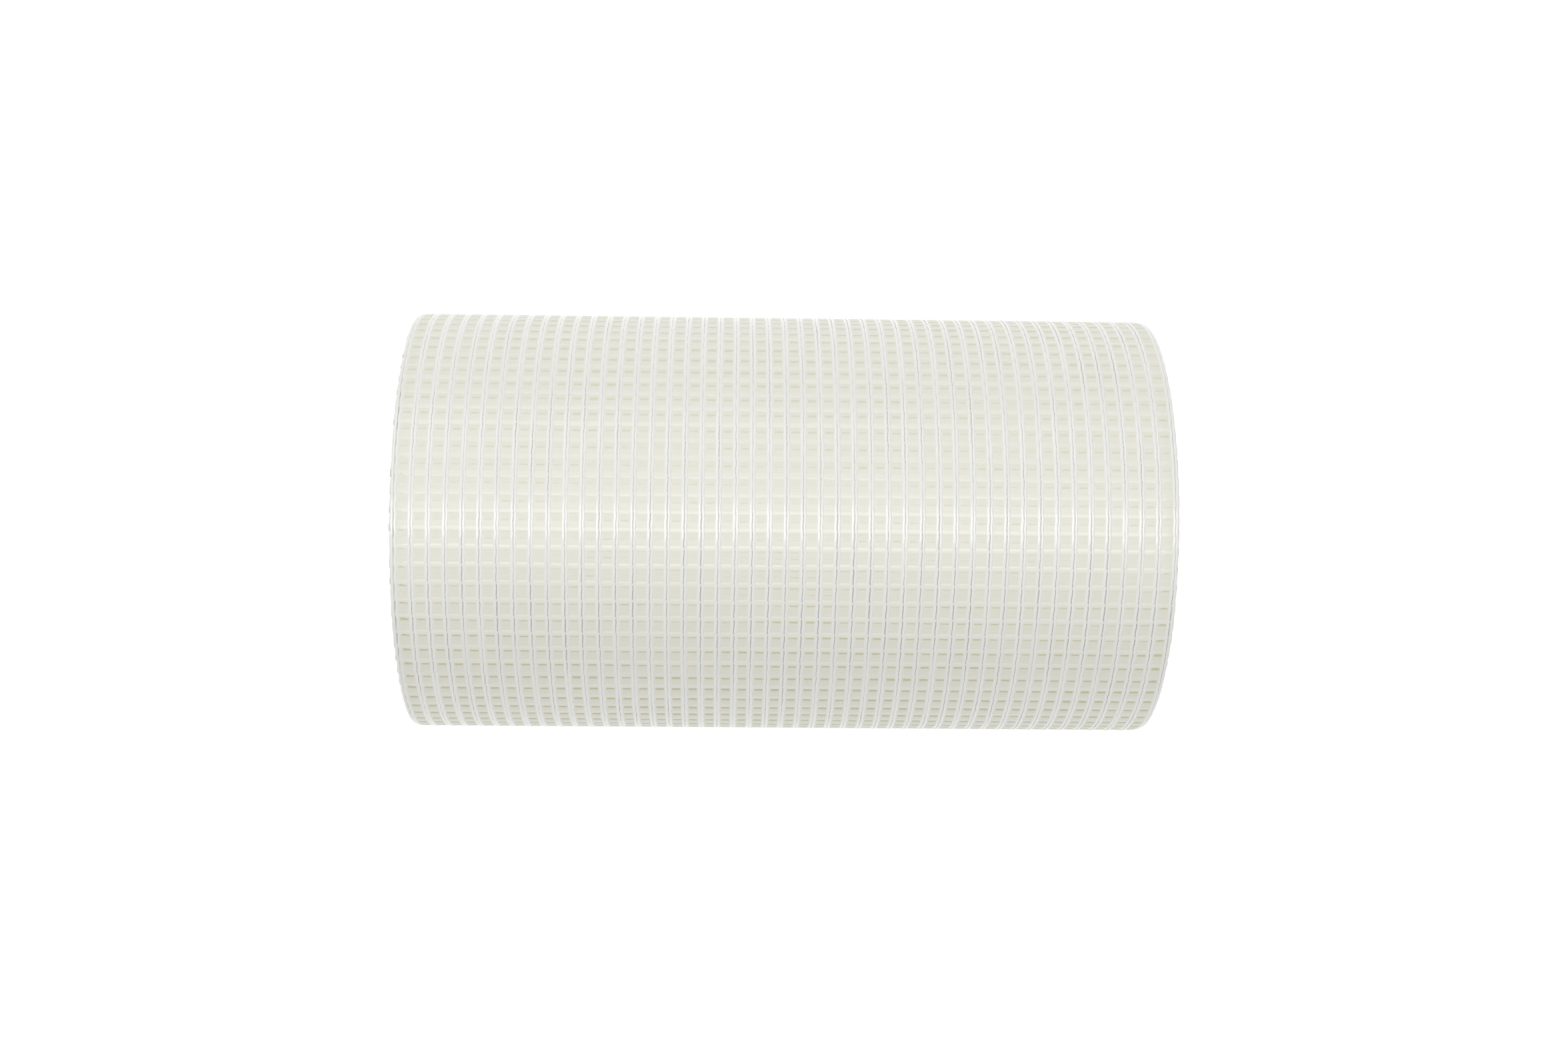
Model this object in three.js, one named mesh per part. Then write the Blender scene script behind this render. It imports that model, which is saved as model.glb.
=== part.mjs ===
// A roll of self-adhesive fiberglass mesh, lying on its side.
// One long strip of open glass mesh is wound on itself around a plain through bore.
// Units are millimetres. +X runs along the roll's axis, +Z is up, and the origin is
// on the floor under the middle of the roll.

import * as THREE from "three";

// Driving dimensions of the roll
const STRIP_WIDTH = 150; // width of the mesh strip, so the length of the roll
const OUTER_DIAMETER = 85.5; // over the last turn
const BORE_DIAMETER = 38; // clear width of the hole through the roll
const SHOULDER_RADIUS = 2; // where the last turns draw in at each end

// Turns that show on each end: the edges of the wound strip stand in rings,
// and a narrow groove lies wherever the winding has stepped sideways
const RING_PITCH = 2.9; // radial distance from one groove to the next
const GROOVE_WIDTH = 0.5; // radial width of a groove at the end face
const GROOVE_DEPTH = 0.4; // how far a groove reaches into the end face

// Fineness of the round shapes
const FACETS = 72; // flats around the roll, nearly one for each cross thread of a turn
const SHOULDER_STEPS = 3; // straight steps in the arc of a shoulder

// A radius measured to the middle of a flat, turned into the radius of the corners
const cornerRadius = (flatRadius) => flatRadius / Math.cos(Math.PI / FACETS);

// Radii of the grooves on an end face, spread evenly between the bore and the shoulder
function grooveRadii() {
  const inner = BORE_DIAMETER / 2;
  const outer = OUTER_DIAMETER / 2 - SHOULDER_RADIUS;
  const rings = Math.max(1, Math.round((outer - inner) / RING_PITCH));
  const pitch = (outer - inner) / rings;
  return Array.from({ length: rings - 1 }, (_, i) => outer - (i + 1) * pitch);
}

// Half of the turned section as [radius, height above the middle of the strip],
// from the side of the roll over its shoulder and in across the end face to the bore
function upperProfile() {
  const end = STRIP_WIDTH / 2;
  const side = OUTER_DIAMETER / 2;
  const shoulder = Array.from({ length: SHOULDER_STEPS + 1 }, (_, i) => {
    const angle = (i / SHOULDER_STEPS) * (Math.PI / 2);
    return [
      side - SHOULDER_RADIUS * (1 - Math.cos(angle)),
      end - SHOULDER_RADIUS * (1 - Math.sin(angle)),
    ];
  });
  const grooves = grooveRadii().flatMap((radius) => [
    [radius + GROOVE_WIDTH / 2, end],
    [radius, end - GROOVE_DEPTH],
    [radius - GROOVE_WIDTH / 2, end],
  ]);
  return [...shoulder, ...grooves, [BORE_DIAMETER / 2, end]];
}

// The whole section, closed on itself: up the side, in over the upper end,
// down the bore and out over the lower end
function rollSection() {
  const upper = upperProfile();
  const lower = upper.map(([radius, height]) => [radius, -height]).reverse();
  return [...upper, ...lower, upper[0]].map(
    ([radius, height]) => new THREE.Vector2(cornerRadius(radius), height),
  );
}

// The turned solid stands along Y when it is made, with a flat facing +Z
function meshRoll() {
  const halfFacet = Math.PI / FACETS;
  const geometry = new THREE.LatheGeometry(rollSection(), FACETS, halfFacet);
  const material = new THREE.MeshStandardMaterial({
    color: 0xe6e7e1,
    roughness: 0.55,
    metalness: 0,
  });
  const mesh = new THREE.Mesh(geometry, material);
  mesh.name = "mesh_roll";
  mesh.rotation.z = -Math.PI / 2;
  mesh.position.z = OUTER_DIAMETER / 2;
  return mesh;
}

const roll = new THREE.Group();
roll.add(meshRoll());

export default roll;
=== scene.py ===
"""A roll of self-adhesive fiberglass mesh, lying on its side.

One strip of open glass mesh, wound on itself about a hundred times. The outer turn and
the turn on the bore are made thread by thread. The turns between them are one wound
body, whose material draws the threads of the next few turns, and the cut ends of its
cross threads stand on both end faces.
Lengths in the settings are metres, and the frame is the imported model's own frame.
"""

import math

import bpy
import numpy as np
from bpy.props import (
    FloatProperty,
    FloatVectorProperty,
    IntProperty,
    PointerProperty,
)
from mathutils import Matrix, Vector


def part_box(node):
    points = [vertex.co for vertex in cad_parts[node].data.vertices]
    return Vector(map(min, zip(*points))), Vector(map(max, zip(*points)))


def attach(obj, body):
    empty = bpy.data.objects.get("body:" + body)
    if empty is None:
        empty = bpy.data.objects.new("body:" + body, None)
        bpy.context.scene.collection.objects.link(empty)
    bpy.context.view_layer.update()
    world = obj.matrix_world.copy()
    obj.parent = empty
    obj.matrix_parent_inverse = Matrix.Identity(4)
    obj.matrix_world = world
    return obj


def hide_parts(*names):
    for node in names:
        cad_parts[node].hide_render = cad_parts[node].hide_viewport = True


bl_info = {
    "name": "Fiberglass mesh roll",
    "version": (1, 0, 0),
    "blender": (4, 5, 0),
    "location": "View3D > Sidebar > Mesh roll",
    "description": "Builds a roll of fiberglass mesh thread by thread, with its stage",
    "category": "Add Mesh",
}

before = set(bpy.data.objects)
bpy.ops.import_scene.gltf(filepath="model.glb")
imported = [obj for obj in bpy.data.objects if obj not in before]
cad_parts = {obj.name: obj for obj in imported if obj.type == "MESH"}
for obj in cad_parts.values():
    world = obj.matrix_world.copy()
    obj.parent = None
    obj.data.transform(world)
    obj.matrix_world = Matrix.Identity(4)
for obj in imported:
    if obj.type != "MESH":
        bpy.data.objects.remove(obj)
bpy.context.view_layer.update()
NODE = "mesh_roll"
LOW, HIGH = (Vector(corner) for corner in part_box(NODE))
AXIS_HEIGHT = (LOW.z + HIGH.z) / 2
MM = 0.001


# Settings that a user would change


class RollSizes(bpy.types.PropertyGroup):
    """Sizes of the roll and of its mesh"""

    strip_width: FloatProperty(
        name="Strip width",
        description="Width of the mesh strip, along the roll's axis",
        default=HIGH.x - LOW.x,
        unit="LENGTH",
    )
    outer_diameter: FloatProperty(
        name="Outer diameter",
        description="Diameter over the last turn",
        default=HIGH.z - LOW.z,
        unit="LENGTH",
    )
    bore_diameter: FloatProperty(
        name="Bore diameter",
        description="Clear width of the hole through the roll",
        default=0.038,
        unit="LENGTH",
    )
    turn_thickness: FloatProperty(
        name="Turn thickness",
        description="How much each turn adds to the radius",
        default=0.00023,
        unit="LENGTH",
        precision=6,
    )
    warp_pitch: FloatProperty(
        name="Long thread spacing",
        description="Distance between neighbouring long threads, along the axis",
        default=0.003217,
        unit="LENGTH",
        precision=6,
    )
    warp_lines: IntProperty(
        name="Long threads",
        description="Number of long threads side by side",
        default=47,
        min=3,
    )
    weft_pitch: FloatProperty(
        name="Cross thread spacing",
        description="Distance between neighbouring cross threads, along the strip",
        default=0.0034981,
        unit="LENGTH",
        precision=7,
    )
    weft_width: FloatProperty(
        name="Cross thread width",
        description="Width of the flat cross threads",
        default=0.0012,
        unit="LENGTH",
        precision=6,
    )
    weft_thickness: FloatProperty(
        name="Cross thread thickness",
        description="Thickness of the flat cross threads",
        default=0.00006,
        unit="LENGTH",
        precision=6,
    )
    warp_width: FloatProperty(
        name="Long thread width",
        description="Width of one yarn of a long thread's twisted pair",
        default=0.00048,
        unit="LENGTH",
        precision=6,
    )
    warp_thickness: FloatProperty(
        name="Long thread thickness",
        description="Thickness of one yarn of a long thread's twisted pair",
        default=0.00011,
        unit="LENGTH",
        precision=6,
    )
    shoulder: FloatProperty(
        name="Shoulder",
        description="How far the turns draw in at the strip's two edges",
        default=0.0012,
        unit="LENGTH",
        precision=5,
    )
    free_end_angle: FloatProperty(
        name="Free end",
        description="Where the last turn ends, round from the top of the roll",
        default=math.radians(150.0),
        subtype="ANGLE",
    )


class RollColours(bpy.types.PropertyGroup):
    """Colours of the yarn, of its coating and the covered turns in painted shade, and of the
    stage
    """

    yarn: FloatVectorProperty(
        name="Glass yarn",
        description="Colour of the coated white glass yarn",
        subtype="COLOR",
        size=3,
        min=0.0,
        max=1.0,
        default=(0.80, 0.80, 0.745),
    )
    # Painted shade: the yarn of the turns below the outer one, darker and yellower than the outer
    # yarn
    covered_in_shade: FloatVectorProperty(
        name="Covered turns",
        description="Colour of the yarn a few turns down, where the white glass glows",
        subtype="COLOR",
        size=3,
        min=0.0,
        max=1.0,
        default=(0.76, 0.76, 0.685),
    )
    # Painted shade: the dark yellow-green seen deep between the threads and on the bore, the
    # coating's own tint darkened as shade
    coating_in_shade: FloatVectorProperty(
        name="Coating in the gaps",
        description="Yellow-green tint of the adhesive coating, seen deep between the threads",
        subtype="COLOR",
        size=3,
        min=0.0,
        max=1.0,
        default=(0.56, 0.56, 0.38),
    )
    floor: FloatVectorProperty(
        name="Floor",
        description="Colour of the pale studio floor",
        subtype="COLOR",
        size=3,
        min=0.0,
        max=1.0,
        default=(0.9, 0.9, 0.9),
    )


def sizes():
    """The roll's sizes, as the scene holds them."""
    return bpy.context.scene.mesh_roll_sizes


def colours():
    """The roll's colours, as the scene holds them."""
    return bpy.context.scene.mesh_roll_colours


# The wound strip: where a point of it lies


# Height of the upper yarns over the middle of the strip
PROUD = 0.00006
# Depth of the wound body under the middle of the turn that covers it
BODY_SUNK = 0.00002
# Length of the frayed threads on the left end
FRAY = 0.0006
# Place of the first cross thread, in cross thread spacings from the free end
FIRST_THREAD = 0.35
# How far from the strip's edge the shoulder begins
SHOULDER_WIDTH = 0.0024
# Share of the shoulder's depth by which the body's outer ridges draw in on the ends
SHOULDER_PULL = 0.7
# The same share for the cut thread ends
THREAD_PULL = 0.55
# Depth in the winding at which both have faded out
PULL_DEPTH = 0.003


def first_radius():
    """Radius of the middle of the mesh at the free end, under its upper yarns."""
    return sizes().outer_diameter / 2 - PROUD


def turns_at(length):
    """Turns wound from the free end after a length of strip.

    A spiral that starts at radius R and loses T with each turn has used
    2 pi R u - pi T u^2 of strip after u turns. This is that formula, solved for u.
    """
    start, step = first_radius(), sizes().turn_thickness
    return (start - np.sqrt(start**2 - step * length / np.pi)) / step


def length_at(turns):
    """Length of strip used after a number of turns: 2 pi R u - pi T u^2."""
    start, step = first_radius(), sizes().turn_thickness
    return 2 * np.pi * start * turns - np.pi * step * turns**2


def radius_at(turns):
    """Radius of the strip's middle, which falls by the turn thickness each turn."""
    return first_radius() - sizes().turn_thickness * turns


def angle_at(turns):
    """Angle round the roll from its top, falling by a full circle each turn."""
    return sizes().free_end_angle - 2 * np.pi * turns


SIDE_STEPS = np.array([0.0, 0.5, -0.3, 0.35, -0.15, 0.25, -0.2, 0.1, -0.25]) * MM


def sideways_at(turns):
    """Sideways place of the strip: one small step in each turn, eased in and out.

    The step is made in the last part of a turn, with the weight 3 w^2 - 2 w^3.
    """
    whole = np.floor(turns).astype(int)
    part = turns - whole
    w = np.clip((part - 0.7) / 0.3, 0.0, 1.0)
    ease = w * w * (3 - 2 * w)
    count = len(SIDE_STEPS)
    before = SIDE_STEPS[np.mod(whole, count)]
    after = SIDE_STEPS[np.mod(whole + 1, count)]
    return before + (after - before) * ease


def shoulder_drop(x):
    """How far the strip lies below its full radius at a place along the axis.

    Zero over the middle, then nearly a quarter ellipse down to the shoulder's depth.
    With q the share of the shoulder's width, it is D (1 - sqrt(1 - 0.97 q^2)).
    """
    s = sizes()
    start = s.strip_width / 2 - SHOULDER_WIDTH
    q = np.clip((np.abs(x) - start) / SHOULDER_WIDTH, 0.0, 1.0)
    return s.shoulder * (1 - np.sqrt(1 - 0.97 * q**2))


def edge_back(depth):
    """How far the strip's edge stands back from the roll's end, at a depth in the winding.

    Two slow waves of 0.08 mm, and where the winding has stepped sideways a groove of
    0.35 mm exp(-(g / 0.25 mm)^2), with g the distance to the groove. Grooves lie every
    2.72 mm from a depth of 4.66 mm.
    """
    first, pitch, groove_depth, groove_width = 0.00466, 0.00272, 0.00035, 0.00025
    wave = 0.00004 * (2 + np.sin(depth / 0.00041) + np.sin(depth / 0.00107 + 1.0))
    place = (depth - first) / pitch
    gap = (place - np.maximum(np.round(place), 0)) * pitch
    return wave + groove_depth * np.exp(-((gap / groove_width) ** 2))


def on_roll(x, radius, angle):
    """Points from a place along the axis, a radius and an angle from the top."""
    x, radius, angle = np.broadcast_arrays(x, radius, angle)
    points = np.empty(x.shape + (3,))
    points[..., 0] = x
    points[..., 1] = radius * np.sin(angle)
    points[..., 2] = AXIS_HEIGHT + radius * np.cos(angle)
    return points


def outward_at(angle):
    """Unit vectors straight out from the axis at these angles."""
    angle = np.asarray(angle, dtype=float)
    out = np.zeros(angle.shape + (3,))
    out[..., 1] = np.sin(angle)
    out[..., 2] = np.cos(angle)
    return out


def around_at(angle):
    """Unit vectors round the roll, towards larger angles."""
    angle = np.asarray(angle, dtype=float)
    out = np.zeros(angle.shape + (3,))
    out[..., 1] = np.cos(angle)
    out[..., 2] = -np.sin(angle)
    return out


def wander(rng, rows, places, waves, size):
    """A smooth random offset for each row: a few sines with random phases, summed.

    Wave k is sin(k f x + phase) / k, with x the place along the row.
    """
    total = np.zeros((rows, places.shape[-1]))
    for k in range(1, waves + 1):
        pace = rng.uniform(0.6, 1.4, (rows, 1)) * k
        phase = rng.uniform(0, 2 * np.pi, (rows, 1))
        total = total + np.sin(places * pace + phase) / k
    return total * size


# Section shapes of a thread: across and outward, in half widths and half thicknesses.
# The rims of the flat ones lie below the face that the thread rests on.

FLAT_YARN = np.array(
    [(-1.25, -2.2), (-1.0, -0.8), (-0.5, 0.6), (0.5, 0.6), (1.0, -0.8), (1.25, -2.2), (0.0, -3.0)]
)
STEEP_YARN = np.array(
    [(-1.0, -0.9), (-0.8, 0.8), (0.1, 1.0), (0.8, -0.3), (1.15, -1.8), (0.0, -2.4)]
)
ROUND_YARN = np.array([(-1.0, 0.0), (0.0, 1.0), (1.0, 0.0), (0.0, -1.0)])


def sweep(centres, across, outward, widths, heights, section, shade):
    """Closed threads that carry one section along many paths at once.

    Point (t, i, k) is the centre of thread t at station i, plus half the width times
    the section's first number along `across`, plus half the thickness times its
    second number along `outward`. Flat faces close both ends of each thread. The two
    sides that meet at the section's last point, underneath, are flat too, so that the
    upper sides keep their own shading out to the thread's edges.
    """
    threads, stations = centres.shape[:2]
    sides = len(section)
    side_shift = across[..., None, :] * (widths[..., None, None] / 2) * section[:, 0, None]
    rise = outward[..., None, :] * (heights[..., None, None] / 2) * section[:, 1, None]
    points = centres[..., None, :] + side_shift + rise

    number = np.arange(threads * stations * sides).reshape(threads, stations, sides)
    here, ahead = number[:, :-1], number[:, 1:]
    walls = np.stack(
        [here, np.roll(here, -1, axis=2), np.roll(ahead, -1, axis=2), ahead], axis=-1
    ).reshape(-1, 4)
    first, last = number[:, 0, ::-1], number[:, -1, :]

    mid = (stations - 1) // 2
    middle = (0, mid)
    along = centres[0, mid + 1] - centres[0, mid]
    turn = np.dot(np.cross(outward[middle], across[middle]), along)
    if turn < 0:
        walls, first, last = walls[:, ::-1], first[:, ::-1], last[:, ::-1]

    steps = np.linalg.norm(np.diff(centres, axis=1), axis=-1)
    run = np.concatenate([np.zeros((threads, 1)), np.cumsum(steps, axis=1)], axis=1)
    run = run + np.arange(threads)[:, None] * 0.0137
    u = np.broadcast_to(run[..., None], number.shape).ravel()
    v = np.broadcast_to(np.arange(sides) / sides, number.shape).ravel()
    tone = np.broadcast_to(shade[:, None, None], number.shape).ravel()
    upper = np.tile(np.arange(sides) < sides - 2, threads * (stations - 1))
    return {
        "points": points.reshape(-1, 3),
        "quads": walls,
        "caps": np.concatenate([first, last]),
        "smooth": upper,
        "uv": np.stack([u / MM, v], axis=-1),
        "shade": tone,
    }


def put_in_mesh(name, shape):
    """A mesh object from arrays of points, quads and end faces, shown as smooth."""
    mesh = bpy.data.meshes.new(name)
    quads = shape["quads"]
    caps = shape.get("caps", np.zeros((0, 3), dtype=int))
    corners = np.concatenate([quads.ravel(), caps.ravel()]).astype(np.int32)
    counts = np.concatenate([np.full(len(quads), 4), np.full(len(caps), caps.shape[1])])
    starts = np.concatenate([[0], np.cumsum(counts)[:-1]]).astype(np.int32)
    mesh.vertices.add(len(shape["points"]))
    mesh.vertices.foreach_set("co", shape["points"].astype(np.float32).ravel())
    mesh.loops.add(len(corners))
    mesh.loops.foreach_set("vertex_index", corners)
    mesh.polygons.add(len(counts))
    mesh.polygons.foreach_set("loop_start", starts)
    rounded = shape.get("smooth", np.ones(len(quads), bool))
    smooth = np.concatenate([rounded, np.zeros(len(caps), bool)])
    mesh.polygons.foreach_set("use_smooth", smooth)
    mesh.update(calc_edges=True)
    if "uv" in shape:
        layer = mesh.uv_layers.new(name="along_thread")
        uv = shape["uv"][corners].astype(np.float32)
        layer.uv.foreach_set("vector", uv.ravel())
    if "shade" in shape:
        tone = mesh.attributes.new(name="thread_shade", type="FLOAT", domain="POINT")
        tone.data.foreach_set("value", shape["shade"].astype(np.float32))
    if mesh.validate(verbose=False):
        raise RuntimeError(f"{name} had faces that Blender could not use")
    piece = bpy.data.objects.new(name, mesh)
    bpy.context.scene.collection.objects.link(piece)
    return piece


def finish_piece(piece, material):
    """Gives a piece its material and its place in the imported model."""
    piece.data.materials.append(material)
    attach(piece, "root")
    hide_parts(NODE)


# Threads of the mesh


def warp_places():
    """Places of the long threads along the axis, evenly spaced about the middle."""
    s = sizes()
    return (np.arange(s.warp_lines) - (s.warp_lines - 1) / 2) * s.warp_pitch


# Shares of the gap between two long threads at which a cross thread has stations
FINE_CELL = (0.0, 0.2, 0.8)
HALF_CELL = (0.0, 0.5)


def cross_threads(seed, first, last, cell, section):
    """Cross threads number `first` to `last`, counted from the free end.

    Each runs straight along the axis at its own angle on the spiral, with stations at
    the shares `cell` of each gap between long threads. With d the distance to the
    nearest long thread and c = exp(-(d / 0.42 mm)^2), its width is W (1 - 0.2 c) and it
    lies 0.04 mm c lower, because the pair of yarns there holds it together.
    """
    s = sizes()
    hold_reach, hold_drop = 0.00042, 0.00004
    rng = np.random.default_rng(seed)
    number = np.arange(first, last + 1)
    turns = turns_at((number + FIRST_THREAD) * s.weft_pitch)
    rows = len(number)
    places = warp_places()
    starts = np.repeat(np.arange(s.warp_lines - 1), len(cell))
    cells = np.append(starts + np.tile(cell, s.warp_lines - 1), s.warp_lines - 1)
    inner = places[0] + cells * s.warp_pitch
    half = s.strip_width / 2
    x = np.concatenate([[-half], inner, [half]])[None, :] + sideways_at(turns)[:, None]
    back = edge_back(radius_at(0.0) - radius_at(turns))
    x[:, 0] += back + rng.uniform(0.0, 0.0003, rows)
    x[:, -1] -= back + rng.uniform(0.00008, 0.00014, rows)

    station = np.concatenate([[-half], inner, [half]])
    gap = np.abs(station[:, None] - places[None, :]).min(axis=1)
    held = np.exp(-((gap / hold_reach) ** 2))
    spread = 1 + wander(rng, rows, station[None, :] / 0.004, 3, 0.05)
    widths = s.weft_width * (1 - 0.2 * held) * spread
    widths[:, [0, -1]] *= rng.uniform(0.75, 1.05, (rows, 2))
    heights = s.weft_thickness * (1 + 0.15 * held) * np.ones((rows, 1))

    sway = wander(rng, rows, station[None, :] / 0.012, 3, 0.00006)
    angle = angle_at(turns)[:, None] + sway / radius_at(turns)[:, None]
    radius = radius_at(turns)[:, None] - shoulder_drop(x) - held * hold_drop
    centres = on_roll(x, radius, angle)
    shade = rng.uniform(0, 1, rows)
    return sweep(centres, around_at(angle), outward_at(angle), widths, heights, section, shade)


def pick_numbers(first, last, steps):
    """Places along the long threads, counted in cross threads, at even steps."""
    return np.linspace(first, last, int(round((last - first) * steps)) + 1)


# Place of the groove between a pair's two yarns, to the right of the pair's line
GROOVE = 0.00003
# Width of that groove where the pair is tight
GROOVE_WIDTH = 0.00001


def twisted_yarns(seed, first, last, steps, over):
    """One yarn of each pair of long threads: the upper one, or the lower one on its left.

    With t counted in cross threads, the yarn leans sideways by d sin(2 pi t) and
    rises by h cos(2 pi t), so the upper yarn passes over each cross thread and the lower
    one dips under it. A thin groove lies between them. It widens by
    0.13 mm exp(-((a + 0.45) / 0.3)^2) where the pair is looser, with a the angle.
    """
    s = sizes()
    rng = np.random.default_rng(seed)
    t = pick_numbers(first, last, steps)
    turns = turns_at(np.maximum((t + FIRST_THREAD) * s.weft_pitch, 0.0))
    lines = s.warp_lines
    loosest, loose_angle, loose_spread = 0.00013, -0.45, 0.3
    loose = loosest * np.exp(-(((angle_at(turns) - loose_angle) / loose_spread) ** 2))
    if over:
        width = s.warp_width * 1.3
        height = s.warp_thickness
        lift, reach = 0.00004, 0.00002
        place = GROOVE + width / 2
    else:
        width = s.warp_width * 1.15
        height = s.warp_thickness * 0.6
        lift, reach = 0.00001, -0.00001
        place = GROOVE - GROOVE_WIDTH - loose - width / 2
    lean = 0.00006
    rise = lift + reach * np.cos(2 * np.pi * t)
    line = place + lean * np.sin(2 * np.pi * t)
    stray = wander(rng, lines, t[None, :] / 2.2, 3, 0.00003)
    x = warp_places()[:, None] + sideways_at(turns)[None, :] + line[None, :] + stray
    radius = radius_at(turns)[None, :] - shoulder_drop(x) + rise[None, :]
    angle = np.broadcast_to(angle_at(turns)[None, :], x.shape)
    centres = on_roll(x, radius, angle)
    across = np.zeros(centres.shape)
    across[..., 0] = 1.0
    widths = width * (1 + wander(rng, lines, t[None, :] / 0.9, 2, 0.05))
    heights = height * np.ones_like(widths)
    shade = rng.uniform(0, 1, lines)
    section = STEEP_YARN if over else FLAT_YARN
    return sweep(centres, across, outward_at(angle), widths, heights, section, shade)


def long_threads(seed, first, last, steps):
    """Long threads of a covered turn, each pair drawn as one broader yarn.

    The yarn rises over each cross thread by h cos(2 pi t), with t counted in cross threads.
    """
    s = sizes()
    rng = np.random.default_rng(seed)
    t = pick_numbers(first, last, steps)
    turns = turns_at((t + FIRST_THREAD) * s.weft_pitch)
    lines = s.warp_lines
    stray = wander(rng, lines, t[None, :] / 2.2, 3, 0.00004)
    x = warp_places()[:, None] + sideways_at(turns)[None, :] + stray
    rise = 0.00002 + 0.00006 * np.cos(2 * np.pi * t)
    radius = radius_at(turns)[None, :] - shoulder_drop(x) + rise[None, :]
    angle = np.broadcast_to(angle_at(turns)[None, :], x.shape)
    centres = on_roll(x, radius, angle)
    across = np.zeros(centres.shape)
    across[..., 0] = 1.0
    widths = s.warp_width * 1.8 * np.ones_like(x)
    heights = s.warp_thickness * 1.2 * np.ones_like(x)
    shade = rng.uniform(0, 1, lines)
    return sweep(centres, across, outward_at(angle), widths, heights, ROUND_YARN, shade)


def picks_at(turns):
    """Number of the cross thread that lies this many turns from the free end."""
    return length_at(turns) / sizes().weft_pitch - FIRST_THREAD


def all_turns():
    """Turns from the free end to the bore."""
    s = sizes()
    return (first_radius() - s.bore_diameter / 2 - s.turn_thickness / 2) / s.turn_thickness


# Materials


def new_group(name, inputs, outputs):
    """A shader node group with named sockets, its input node and its output node."""
    group = bpy.data.node_groups.new(name, "ShaderNodeTree")
    for label, kind, default in inputs:
        socket = group.interface.new_socket(name=label, in_out="INPUT", socket_type=kind)
        socket.default_value = default
    for label, kind in outputs:
        group.interface.new_socket(name=label, in_out="OUTPUT", socket_type=kind)
    return group, group.nodes.new("NodeGroupInput"), group.nodes.new("NodeGroupOutput")


def math_node(nodes, links, operation, a, b=None):
    """A Math node fed with sockets or plain numbers. Gives its output socket."""
    node = nodes.new("ShaderNodeMath")
    node.operation = operation
    for index, value in enumerate((a, b)):
        if value is None:
            continue
        if isinstance(value, (int, float)):
            node.inputs[index].default_value = value
        else:
            links.new(value, node.inputs[index])
    return node.outputs[0]


def filament_group():
    """Fine filaments along a yarn: noise stretched along the thread's own UV map."""
    if "filaments" in bpy.data.node_groups:
        return bpy.data.node_groups["filaments"]
    group, inside, out = new_group(
        "filaments",
        [
            ("Along", "NodeSocketFloat", 0.35),
            ("Around", "NodeSocketFloat", 24.0),
        ],
        [("Height", "NodeSocketFloat"), ("Mask", "NodeSocketFloat")],
    )
    nodes, links = group.nodes, group.links
    uv = nodes.new("ShaderNodeUVMap")
    uv.uv_map = "along_thread"
    parts = nodes.new("ShaderNodeSeparateXYZ")
    links.new(uv.outputs["UV"], parts.inputs[0])
    along = math_node(nodes, links, "MULTIPLY", parts.outputs["X"], inside.outputs["Along"])
    turn = math_node(nodes, links, "MULTIPLY", parts.outputs["Y"], 2 * math.pi)
    reach = math_node(nodes, links, "MULTIPLY", inside.outputs["Around"], 1 / (2 * math.pi))
    cosine = math_node(nodes, links, "COSINE", turn)
    sine = math_node(nodes, links, "SINE", turn)
    place = nodes.new("ShaderNodeCombineXYZ")
    links.new(along, place.inputs["X"])
    links.new(math_node(nodes, links, "MULTIPLY", cosine, reach), place.inputs["Y"])
    links.new(math_node(nodes, links, "MULTIPLY", sine, reach), place.inputs["Z"])
    noise = nodes.new("ShaderNodeTexNoise")
    noise.inputs["Scale"].default_value = 1.0
    noise.inputs["Detail"].default_value = 3.0
    noise.inputs["Roughness"].default_value = 0.6
    links.new(place.outputs[0], noise.inputs["Vector"])
    links.new(noise.outputs["Fac"], out.inputs["Height"])
    sharpen = nodes.new("ShaderNodeMapRange")
    sharpen.inputs["From Min"].default_value = 0.35
    sharpen.inputs["From Max"].default_value = 0.65
    links.new(noise.outputs["Fac"], sharpen.inputs["Value"])
    links.new(sharpen.outputs["Result"], out.inputs["Mask"])
    return group


def depth_group():
    """How deep a point lies under the roll's outer face: 0 at one depth, 1 at another.

    The last 1.5 mm at both ends stay at 0, so the cut thread ends keep the yarn's colour.
    """
    if "depth_in_roll" in bpy.data.node_groups:
        return bpy.data.node_groups["depth_in_roll"]
    s = sizes()
    group, inside, out = new_group(
        "depth_in_roll",
        [
            ("Outer radius", "NodeSocketFloat", s.outer_diameter / 2),
            ("Start", "NodeSocketFloat", 0.0003),
            ("Depth", "NodeSocketFloat", 0.0009),
            ("Edge", "NodeSocketFloat", s.strip_width / 2 - 0.0015),
        ],
        [("Mask", "NodeSocketFloat")],
    )
    nodes, links = group.nodes, group.links
    coordinates = nodes.new("ShaderNodeTexCoord")
    parts = nodes.new("ShaderNodeSeparateXYZ")
    links.new(coordinates.outputs["Object"], parts.inputs[0])
    rise = math_node(nodes, links, "SUBTRACT", parts.outputs["Z"], AXIS_HEIGHT)
    square = math_node(nodes, links, "POWER", rise, 2.0)
    side = math_node(nodes, links, "POWER", parts.outputs["Y"], 2.0)
    radius = math_node(nodes, links, "SQRT", math_node(nodes, links, "ADD", square, side))
    under = math_node(nodes, links, "SUBTRACT", inside.outputs["Outer radius"], radius)
    under = math_node(nodes, links, "SUBTRACT", under, inside.outputs["Start"])
    share = math_node(nodes, links, "DIVIDE", under, inside.outputs["Depth"])
    clamp = nodes.new("ShaderNodeClamp")
    links.new(share, clamp.inputs["Value"])
    length = math_node(nodes, links, "ABSOLUTE", parts.outputs["X"])
    inner = math_node(nodes, links, "LESS_THAN", length, inside.outputs["Edge"])
    mask = math_node(nodes, links, "MULTIPLY", clamp.outputs[0], inner)
    links.new(mask, out.inputs["Mask"])
    return group


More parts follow.
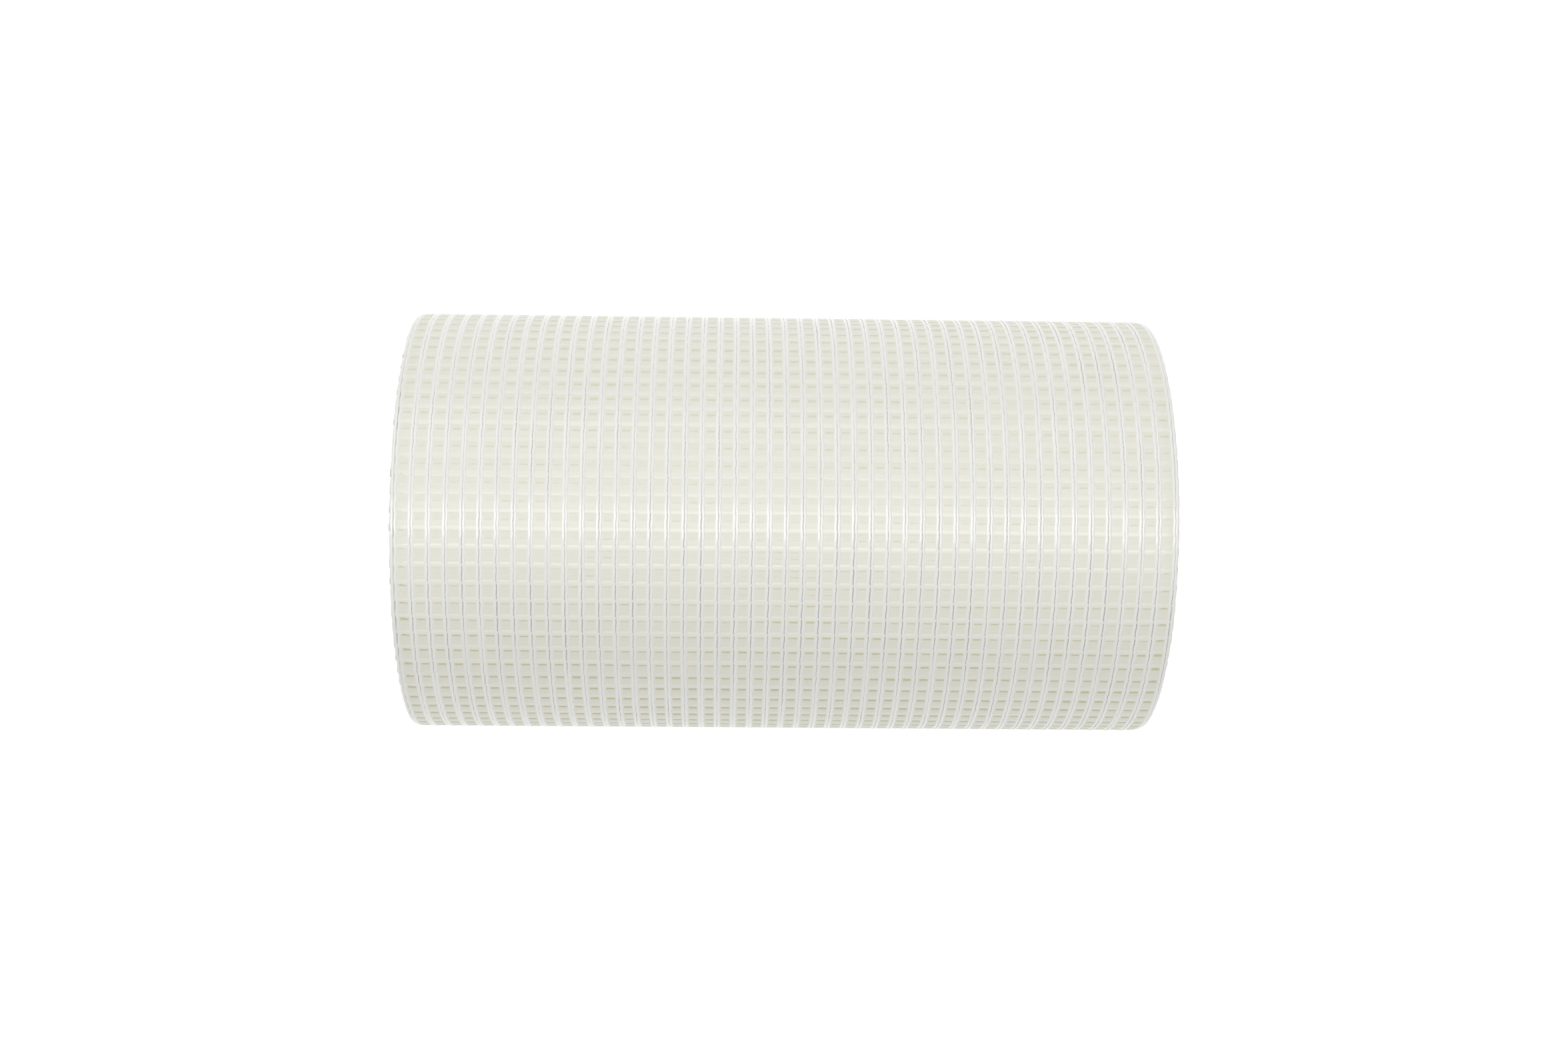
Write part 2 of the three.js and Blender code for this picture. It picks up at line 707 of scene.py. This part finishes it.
def mix_colour(nodes, links, factor, first, second):
    """A colour Mix node fed with sockets or plain colours. Gives its output socket."""
    node = nodes.new("ShaderNodeMix")
    node.data_type = "RGBA"
    for name, value in (("Factor", factor), ("A", first), ("B", second)):
        kinds = {"Factor": "VALUE", "A": "RGBA", "B": "RGBA"}
        socket = next(i for i in node.inputs if i.name == name and i.type == kinds[name])
        if isinstance(value, bpy.types.NodeSocket):
            links.new(value, socket)
        else:
            socket.default_value = value
    return next(o for o in node.outputs if o.type == "RGBA")


def yarn_material(name, tint, along, around, bump, coat):
    """White glass yarn in a clear adhesive coating, with painted shade where it lies deeper:
    darker and yellow-green under the outer face and on the bore.
    """
    if name in bpy.data.materials:
        return bpy.data.materials[name]
    c = colours()
    material = bpy.data.materials.new(name)
    material.use_nodes = True
    nodes, links = material.node_tree.nodes, material.node_tree.links
    nodes.clear()
    output = nodes.new("ShaderNodeOutputMaterial")
    shader = nodes.new("ShaderNodeBsdfPrincipled")
    links.new(shader.outputs[0], output.inputs["Surface"])

    filaments = nodes.new("ShaderNodeGroup")
    filaments.node_tree = filament_group()
    filaments.inputs["Along"].default_value = along
    filaments.inputs["Around"].default_value = around
    shallow = nodes.new("ShaderNodeGroup")
    shallow.node_tree = depth_group()
    shallow.inputs["Start"].default_value = 0.0002
    shallow.inputs["Depth"].default_value = 0.0003
    deep = nodes.new("ShaderNodeGroup")
    deep.node_tree = depth_group()
    deep.inputs["Start"].default_value = 0.0009
    deep.inputs["Depth"].default_value = 0.0009

    tone = nodes.new("ShaderNodeAttribute")
    tone.attribute_name = "thread_shade"
    colour = [channel * share for channel, share in zip(c.yarn, tint)]
    white = (*colour, 1.0)
    shaded = tuple(channel * 0.96 for channel in colour) + (1.0,)
    base = mix_colour(nodes, links, tone.outputs["Fac"], white, shaded)
    between = tuple(channel * 0.92 for channel in colour) + (1.0,)
    streak = math_node(nodes, links, "MULTIPLY", filaments.outputs["Mask"], 0.35)
    streaked = mix_colour(nodes, links, streak, base, between)
    # Painted shade: yarn 0.2 to 0.5 mm under the outer face takes the covered turns' darker
    # colour, and from 0.9 to 1.8 mm down it fades to the dark coating colour, which the bore's
    # yarn has in full; the last 1.5 mm at each end is left out
    under = mix_colour(nodes, links, shallow.outputs["Mask"], streaked, (*c.covered_in_shade, 1.0))
    depth_shaded = mix_colour(nodes, links, deep.outputs["Mask"], under, (*c.coating_in_shade, 1.0))
    links.new(depth_shaded, shader.inputs["Base Color"])

    roughness = nodes.new("ShaderNodeMapRange")
    roughness.inputs["To Min"].default_value = 0.34
    roughness.inputs["To Max"].default_value = 0.56
    links.new(filaments.outputs["Height"], roughness.inputs["Value"])
    links.new(roughness.outputs["Result"], shader.inputs["Roughness"])
    shader.inputs["Coat Weight"].default_value = coat
    shader.inputs["Coat Roughness"].default_value = 0.14
    shader.inputs["IOR"].default_value = 1.5

    relief = nodes.new("ShaderNodeBump")
    relief.inputs["Strength"].default_value = 1.0
    relief.inputs["Distance"].default_value = bump
    links.new(filaments.outputs["Height"], relief.inputs["Height"])
    links.new(relief.outputs["Normal"], shader.inputs["Normal"])
    return material


def cross_yarn():
    """Material of the broad flat cross threads."""
    return yarn_material("cross_yarn", (1.0, 1.0, 0.97), 0.12, 40.0, 0.00002, 0.2)


def long_yarn():
    """Material of the thin twisted long threads."""
    return yarn_material("long_yarn", (1.04, 1.04, 1.07), 0.35, 14.0, 0.000015, 0.6)


def turn_group():
    """Threads of one turn, seen from outside, as masks: 1 on a thread and 0 beside it.

    With u turns from the free end, cross thread n lies where (2 pi R u - pi T u^2) / P
    is n, and long threads lie at whole steps along the axis, moved by the turn's place.
    A mask falls from 1 to 0 where the distance to the nearest thread passes half its
    width. The third mask is where a painted shadow goes, in the groove of each pair of yarns.
    """
    if "turn_of_threads" in bpy.data.node_groups:
        return bpy.data.node_groups["turn_of_threads"]
    s = sizes()
    group, inside, out = new_group(
        "turn_of_threads",
        [
            ("Turn", "NodeSocketFloat", 2.0),
            ("Sideways", "NodeSocketFloat", 0.0),
            ("Cross width", "NodeSocketFloat", 0.352),
            ("Long width", "NodeSocketFloat", 0.26),
        ],
        [
            ("Cross", "NodeSocketFloat"),
            ("Long", "NodeSocketFloat"),
            ("Groove shadow", "NodeSocketFloat"),
        ],
    )
    nodes, links = group.nodes, group.links

    def calc(operation, a, b=None):
        return math_node(nodes, links, operation, a, b)

    def band(distance, width, soft):
        ramp = nodes.new("ShaderNodeMapRange")
        ramp.interpolation_type = "SMOOTHSTEP"
        ramp.inputs["To Min"].default_value = 1.0
        ramp.inputs["To Max"].default_value = 0.0
        links.new(distance, ramp.inputs["Value"])
        half = calc("MULTIPLY", width, 0.5)
        links.new(calc("SUBTRACT", half, soft), ramp.inputs["From Min"])
        links.new(calc("ADD", half, soft), ramp.inputs["From Max"])
        return ramp.outputs["Result"]

    coordinates = nodes.new("ShaderNodeTexCoord")
    parts = nodes.new("ShaderNodeSeparateXYZ")
    links.new(coordinates.outputs["Object"], parts.inputs[0])
    rise = calc("SUBTRACT", parts.outputs["Z"], AXIS_HEIGHT)
    angle = calc("ARCTAN2", parts.outputs["Y"], rise)
    back = calc("SUBTRACT", s.free_end_angle, angle)
    share = calc("FRACT", calc("DIVIDE", back, 2 * math.pi))
    turns = calc("ADD", share, inside.outputs["Turn"])
    pace = calc("MULTIPLY", turns, 2 * math.pi * first_radius() / s.weft_pitch)
    loss = math.pi * s.turn_thickness / s.weft_pitch
    late = calc("MULTIPLY", calc("MULTIPLY", turns, turns), loss)
    pick = calc("FRACT", calc("ADD", calc("SUBTRACT", pace, late), 0.5 - FIRST_THREAD))
    cross = calc("ABSOLUTE", calc("SUBTRACT", pick, 0.5))
    wobble = nodes.new("ShaderNodeTexNoise")
    wobble.inputs["Scale"].default_value = 60.0
    wobble.inputs["Detail"].default_value = 3.0
    wobble.inputs["Roughness"].default_value = 0.8
    links.new(coordinates.outputs["Object"], wobble.inputs["Vector"])
    stray = calc("MULTIPLY", calc("SUBTRACT", wobble.outputs["Fac"], 0.5), 0.2)
    cross_mask = band(calc("ADD", cross, stray), inside.outputs["Cross width"], 0.05)
    line = calc("SUBTRACT", parts.outputs["X"], inside.outputs["Sideways"])
    line = calc("ADD", calc("DIVIDE", line, s.warp_pitch), 100.5)
    groove_place = (GROOVE - 0.00004) / s.warp_pitch
    split = calc("FRACT", calc("ADD", line, -groove_place))
    groove_shadow_mask = band(calc("ABSOLUTE", calc("SUBTRACT", split, 0.5)), 0.07, 0.015)
    line = calc("FRACT", line)
    beside = calc("ABSOLUTE", calc("SUBTRACT", line, 0.5))
    long_mask = band(beside, inside.outputs["Long width"], 0.03)
    links.new(cross_mask, out.inputs["Cross"])
    links.new(long_mask, out.inputs["Long"])
    links.new(groove_shadow_mask, out.inputs["Groove shadow"])
    return group


# Number of turns under the outer one that the body's material draws
HIDDEN_TURNS = 5


def body_material():
    """The turns behind the outer ones: their threads, laid over each other turn by turn.

    The colour starts as painted shade deep between the threads, in the coating's dark
    yellow-green. Each turn, from the deepest outwards, lays its cross and long threads over
    it in a paler tone, so the painted shade lightens turn by turn. With w the turn's share
    of the way out, the tone has gone 1 - (1 - w)^3 of the way to the pale one. A painted
    shadow line lies under the groove of each pair of the outer turn's yarns.
    """
    if "wound_mesh" in bpy.data.materials:
        return bpy.data.materials["wound_mesh"]
    c = colours()
    material = bpy.data.materials.new("wound_mesh")
    material.use_nodes = True
    nodes, links = material.node_tree.nodes, material.node_tree.links
    nodes.clear()
    output = nodes.new("ShaderNodeOutputMaterial")
    shader = nodes.new("ShaderNodeBsdfPrincipled")
    links.new(shader.outputs[0], output.inputs["Surface"])
    colour = (*c.coating_in_shade, 1.0)
    height = None
    for step in range(HIDDEN_TURNS):
        turn = HIDDEN_TURNS - step
        threads = nodes.new("ShaderNodeGroup")
        threads.node_tree = turn_group()
        threads.inputs["Turn"].default_value = float(turn)
        threads.inputs["Sideways"].default_value = float(SIDE_STEPS[turn % len(SIDE_STEPS)])
        mask = math_node(
            nodes, links, "MAXIMUM", threads.outputs["Cross"], threads.outputs["Long"]
        )
        # Painted shade: the deeper the turn, the nearer its tone stays to the dark coating colour
        share = (step + 1) / HIDDEN_TURNS
        pale = 1 - (1 - share) ** 3
        pairs = zip(c.coating_in_shade, c.covered_in_shade)
        tone = tuple(deep + (near - deep) * pale for deep, near in pairs) + (1.0,)
        colour = mix_colour(nodes, links, mask, colour, tone)
        raised = math_node(nodes, links, "MULTIPLY", mask, share)
        if height is None:
            height = raised
        else:
            height = math_node(nodes, links, "MAXIMUM", height, raised)
    # Painted shadow: a dark line at 0.55 of the yarn's colour on the body, under the groove
    # between the two yarns of each outer pair
    outer = nodes.new("ShaderNodeGroup")
    outer.node_tree = turn_group()
    outer.inputs["Turn"].default_value = 0.0
    shadow = tuple(channel * 0.55 for channel in c.yarn) + (1.0,)
    colour = mix_colour(nodes, links, outer.outputs["Groove shadow"], colour, shadow)
    coordinates = nodes.new("ShaderNodeTexCoord")
    stretch = nodes.new("ShaderNodeMapping")
    stretch.inputs["Scale"].default_value = (500.0, 7000.0, 7000.0)
    links.new(coordinates.outputs["Object"], stretch.inputs["Vector"])
    strands = nodes.new("ShaderNodeTexNoise")
    strands.inputs["Scale"].default_value = 1.0
    strands.inputs["Detail"].default_value = 2.0
    links.new(stretch.outputs[0], strands.inputs["Vector"])
    grain = nodes.new("ShaderNodeMapRange")
    grain.inputs["From Min"].default_value = 0.3
    grain.inputs["From Max"].default_value = 0.7
    grain.inputs["To Max"].default_value = 0.16
    links.new(strands.outputs["Fac"], grain.inputs["Value"])
    colour = mix_colour(nodes, links, grain.outputs["Result"], colour, (*c.coating_in_shade, 1.0))
    links.new(colour, shader.inputs["Base Color"])
    roughness = nodes.new("ShaderNodeMapRange")
    roughness.inputs["To Min"].default_value = 0.62
    roughness.inputs["To Max"].default_value = 0.42
    links.new(height, roughness.inputs["Value"])
    links.new(roughness.outputs["Result"], shader.inputs["Roughness"])
    relief = nodes.new("ShaderNodeBump")
    relief.inputs["Strength"].default_value = 1.0
    relief.inputs["Distance"].default_value = 0.000012
    uneven = math_node(nodes, links, "MULTIPLY", strands.outputs["Fac"], 1.2)
    height = math_node(nodes, links, "ADD", height, uneven)
    links.new(height, relief.inputs["Height"])
    links.new(relief.outputs["Normal"], shader.inputs["Normal"])
    return material


def floor_material():
    """Pale seamless studio floor with a faint glow of its own."""
    c = colours()
    material = bpy.data.materials.new("studio_floor")
    material.use_nodes = True
    nodes, links = material.node_tree.nodes, material.node_tree.links
    nodes.clear()
    output = nodes.new("ShaderNodeOutputMaterial")
    shader = nodes.new("ShaderNodeBsdfPrincipled")
    links.new(shader.outputs[0], output.inputs["Surface"])
    coordinates = nodes.new("ShaderNodeTexCoord")
    noise = nodes.new("ShaderNodeTexNoise")
    noise.inputs["Scale"].default_value = 6.0
    links.new(coordinates.outputs["Object"], noise.inputs["Vector"])
    faint = tuple(channel * 0.985 for channel in c.floor) + (1.0,)
    base = mix_colour(nodes, links, noise.outputs["Fac"], (*c.floor, 1.0), faint)
    links.new(base, shader.inputs["Base Color"])
    shader.inputs["Roughness"].default_value = 0.8
    shader.inputs["Emission Color"].default_value = (1.0, 1.0, 1.0, 1.0)
    shader.inputs["Emission Strength"].default_value = FLOOR_GLOW
    return material


# Operators, one for each group of pieces


class OuterTurn(bpy.types.Operator):
    """Build the outer turn thread by thread"""

    bl_idname = "mesh_roll.outer_turn"
    bl_label = "Outer turn"

    def execute(self, context):
        end = picks_at(1.0)
        start, stop = -0.33, end + 0.4
        shape = cross_threads(11, 0, int(end), FINE_CELL, FLAT_YARN)
        finish_piece(put_in_mesh("outer_turn_cross_threads", shape), cross_yarn())
        upper = twisted_yarns(31, start, stop, 4, over=True)
        finish_piece(put_in_mesh("outer_turn_upper_yarns", upper), long_yarn())
        lower = twisted_yarns(32, start, stop, 3, over=False)
        finish_piece(put_in_mesh("outer_turn_lower_yarns", lower), long_yarn())
        return {"FINISHED"}


def wound_body_shape(around):
    """The turned body: a closed section carried round the axis along the spiral.

    The section goes out over one end, along the side, in over the other end and back
    through the bore. Its outer radius falls by the turn thickness in one round, and so
    do the low ridges on the ends, one for each turn. The left end stands back by the
    length of its frayed threads.
    """
    s = sizes()
    share = np.arange(around) / around
    angle = angle_at(share)
    outer = radius_at(share) - BODY_SUNK
    inner = s.bore_diameter / 2 + s.turn_thickness / 2 + BODY_SUNK
    ridges = int((outer.min() - inner) / s.turn_thickness)
    marks = np.arange(2 * ridges)
    depth = (outer.min() - inner) * (1 - (marks + 1) / (2 * ridges + 1))
    pull = SHOULDER_PULL * s.shoulder * np.clip(1 - depth / PULL_DEPTH, 0, 1) ** 2
    radius = outer[None, :] - depth[:, None] - pull[:, None]
    set_back, ridge = 0.0003, 0.0003
    high = s.strip_width / 2 - set_back
    x_end = high - edge_back(depth) - np.where(marks % 2 == 0, 0.0, ridge)
    right = on_roll(x_end[:, None], radius, angle[None, :])
    left = on_roll(FRAY - x_end[::-1][:, None], radius[::-1], angle[None, :])
    swing = np.sin(np.linspace(-1, 1, 65)[1:-1][::-1] * np.pi / 2)
    side_x = FRAY / 2 + (high - FRAY / 2) * swing
    side = on_roll(
        side_x[:, None], outer[None, :] - shoulder_drop(side_x)[:, None], angle[None, :]
    )
    bore_x = np.linspace(FRAY - high, high, 9)[1:-1]
    bore = on_roll(bore_x[:, None], inner, angle[None, :])
    rings = np.concatenate([right, side, left, bore])
    number = np.arange(len(rings) * around).reshape(len(rings), around)
    up = np.roll(number, -1, axis=0)
    walls = np.stack([number, np.roll(number, -1, axis=1), np.roll(up, -1, axis=1), up], axis=-1)
    return {"points": rings.reshape(-1, 3), "quads": walls.reshape(-1, 4)[:, ::-1]}


class WoundBody(bpy.types.Operator):
    """Build the turns between the outer ones and the bore as one wound body"""

    bl_idname = "mesh_roll.wound_body"
    bl_label = "Wound body"

    def execute(self, context):
        piece = put_in_mesh("wound_body", wound_body_shape(180))
        finish_piece(piece, body_material())
        return {"FINISHED"}


def cut_end_shape(seed, side):
    """Cut ends of the cross threads on one end face, for the turns of the wound body.

    Thread n lies on the spiral at the angle and radius of its length (n + 0.35) P. Its end
    stands out along the axis by a random amount, which varies more on the left end.
    """
    s = sizes()
    rng = np.random.default_rng(seed)
    first = int(np.ceil(picks_at(0.5)))
    last = int(picks_at(all_turns() - 1.2))
    number = np.arange(first, last + 1)
    turns = turns_at((number + FIRST_THREAD) * s.weft_pitch)
    rows = len(number)
    half = s.strip_width / 2
    buried, set_back = 0.0014, 0.0001
    rough = 0.0001 if side > 0 else 0.0005
    depth = radius_at(0.0) - radius_at(turns)
    root = np.full(rows, half - buried - FRAY / 2)
    tip = half - set_back - edge_back(depth) - rng.uniform(0.0, rough, rows)
    x = np.stack([root, tip], axis=1)
    fade = np.clip(1 - depth / PULL_DEPTH, 0, 1)
    pull = THREAD_PULL * s.shoulder * fade[:, None] * np.array([0.6, 1.0])
    sway = rng.uniform(-0.0003, 0.0003, (rows, 2)) * np.array([0.2, 1.0])
    angle = angle_at(turns)[:, None] + sway / radius_at(turns)[:, None]
    lift = rng.uniform(-0.00003, 0.00003, (rows, 2))
    radius = radius_at(turns)[:, None] - pull + lift
    centres = on_roll(side * x, radius, angle)
    widths = s.weft_width * rng.uniform(0.5, 1.0, (rows, 2))
    heights = s.weft_thickness * rng.uniform(0.8, 1.1, (rows, 2))
    shade = rng.uniform(0, 1, rows)
    return sweep(
        centres, around_at(angle), outward_at(angle), widths, heights, ROUND_YARN, shade
    )


class CutEnds(bpy.types.Operator):
    """Build the cut ends of the cross threads on both end faces"""

    bl_idname = "mesh_roll.cut_ends"
    bl_label = "Cut thread ends"

    def execute(self, context):
        for seed, side, name in ((61, 1.0, "plus_x"), (62, -1.0, "minus_x")):
            piece = put_in_mesh(f"cut_thread_ends_{name}", cut_end_shape(seed, side))
            finish_piece(piece, cross_yarn())
        return {"FINISHED"}


class BoreTurn(bpy.types.Operator):
    """Build the first wound turn, which lines the bore"""

    bl_idname = "mesh_roll.bore_turn"
    bl_label = "Bore turn"

    def execute(self, context):
        turns = all_turns()
        last = picks_at(turns)
        first = picks_at(turns - 1.15)
        shape = cross_threads(71, int(first), int(last), HALF_CELL, ROUND_YARN)
        finish_piece(put_in_mesh("bore_turn_cross_threads", shape), cross_yarn())
        shape = long_threads(72, first, last + 0.3, 2)
        finish_piece(put_in_mesh("bore_turn_long_threads", shape), long_yarn())
        return {"FINISHED"}


# Stage


# Camera: its distance from the roll's axis, its lens in millimetres, its turns about its
# own upright and about its line of sight, and its shift in its own picture plane
CAMERA_DISTANCE = 0.44305
CAMERA_LENS = 48.68
CAMERA_YAW = math.radians(1.6)
CAMERA_ROLL = math.radians(0.55)
CAMERA_SLIDE = (0.000766, 0.000139)
# Lights: strength of the world and of the floor's own glow, and power of the softboxes
WORLD_STRENGTH = 0.44
FLOOR_GLOW = 0.33
OVERHEAD_POWER = 4.8
UPPER_LEFT_POWER = 2.4


def add_camera():
    """Camera above the roll, looking down at it, with a small lean and a small roll."""
    level = Vector((math.cos(CAMERA_YAW), 0.0, math.sin(CAMERA_YAW)))
    back = Vector((-math.sin(CAMERA_YAW), 0.0, math.cos(CAMERA_YAW)))
    up = Vector((0.0, 1.0, 0.0))
    right = level * math.cos(CAMERA_ROLL) + up * math.sin(CAMERA_ROLL)
    above = up * math.cos(CAMERA_ROLL) - level * math.sin(CAMERA_ROLL)
    place = Vector((0.0, 0.0, AXIS_HEIGHT)) + back * CAMERA_DISTANCE
    place = place + right * CAMERA_SLIDE[0] + above * CAMERA_SLIDE[1]
    data = bpy.data.cameras.new("camera")
    data.sensor_width = 36.0
    data.lens = CAMERA_LENS
    data.clip_start = 0.01
    data.clip_end = 20.0
    camera = bpy.data.objects.new("camera", data)
    bpy.context.scene.collection.objects.link(camera)
    turn = Matrix((right, above, back)).transposed().to_4x4()
    camera.matrix_world = Matrix.Translation(place) @ turn
    bpy.context.scene.camera = camera


def add_softbox(name, place, target, width, height, power):
    """A rectangular soft light at a place, facing a target."""
    data = bpy.data.lights.new(name, "AREA")
    data.shape = "RECTANGLE"
    data.size = width
    data.size_y = height
    data.energy = power
    light = bpy.data.objects.new(name, data)
    light.location = place
    light.rotation_mode = "QUATERNION"
    light.rotation_quaternion = (Vector(target) - Vector(place)).to_track_quat("-Z", "Y")
    bpy.context.scene.collection.objects.link(light)


def floor_shape():
    """A flat round floor: rings of points at radii that grow with the square."""
    rings, around, reach = 24, 96, 2.2
    radius = reach * np.linspace(0.02, 1.0, rings) ** 2
    angle = np.linspace(0, 2 * np.pi, around, endpoint=False)
    points = np.zeros((rings, around, 3))
    points[..., 0] = radius[:, None] * np.cos(angle)
    points[..., 1] = radius[:, None] * np.sin(angle)
    number = np.arange(rings * around).reshape(rings, around)
    here, ahead = number[:-1], number[1:]
    walls = np.stack(
        [here, ahead, np.roll(ahead, -1, axis=1), np.roll(here, -1, axis=1)], axis=-1
    )
    return {
        "points": points.reshape(-1, 3),
        "quads": walls.reshape(-1, 4),
        "caps": number[:1],
    }


class Stage(bpy.types.Operator):
    """Set up the pale floor, the soft lights and the camera"""

    bl_idname = "mesh_roll.stage"
    bl_label = "Stage"

    def execute(self, context):
        floor = put_in_mesh("floor", floor_shape())
        floor.data.materials.append(floor_material())
        world = bpy.data.worlds.new("studio_world")
        world.use_nodes = True
        background = world.node_tree.nodes["Background"]
        background.inputs["Color"].default_value = (1.0, 1.0, 1.0, 1.0)
        background.inputs["Strength"].default_value = WORLD_STRENGTH
        context.scene.world = world
        middle = (0.0, 0.0, AXIS_HEIGHT)
        overhead = (0.0, 0.0, 1.0)
        upper_left = (-0.25, 0.85, 0.85)
        add_softbox("overhead_softbox", overhead, middle, 0.9, 0.3, OVERHEAD_POWER)
        add_softbox("upper_left_softbox", upper_left, middle, 0.8, 0.6, UPPER_LEFT_POWER)
        add_camera()
        context.scene.view_settings.view_transform = "Standard"
        return {"FINISHED"}


# Panel and registration


class MeshRollPanel(bpy.types.Panel):
    """Lists the roll's settings and building steps"""

    bl_idname = "VIEW3D_PT_mesh_roll"
    bl_label = "Mesh roll"
    bl_space_type = "VIEW_3D"
    bl_region_type = "UI"
    bl_category = "Mesh roll"

    def draw(self, context):
        layout = self.layout
        for group in (context.scene.mesh_roll_sizes, context.scene.mesh_roll_colours):
            column = layout.column(align=True)
            for name in group.__annotations__:
                column.prop(group, name)
        for operator in STEPS:
            layout.operator(operator.bl_idname)


STEPS = (WoundBody, OuterTurn, CutEnds, BoreTurn, Stage)
CLASSES = (RollSizes, RollColours, *STEPS, MeshRollPanel)


def register():
    """Registers the classes and hangs the settings on the scene."""
    for part in CLASSES:
        bpy.utils.register_class(part)
    bpy.types.Scene.mesh_roll_sizes = PointerProperty(type=RollSizes)
    bpy.types.Scene.mesh_roll_colours = PointerProperty(type=RollColours)


def unregister():
    """Takes the settings off the scene and unregisters the classes."""
    del bpy.types.Scene.mesh_roll_colours
    del bpy.types.Scene.mesh_roll_sizes
    for part in reversed(CLASSES):
        bpy.utils.unregister_class(part)


def main():
    register()
    bpy.ops.mesh_roll.wound_body()
    bpy.ops.mesh_roll.outer_turn()
    bpy.ops.mesh_roll.cut_ends()
    bpy.ops.mesh_roll.bore_turn()
    bpy.ops.mesh_roll.stage()


if __name__ == "__main__":
    main()
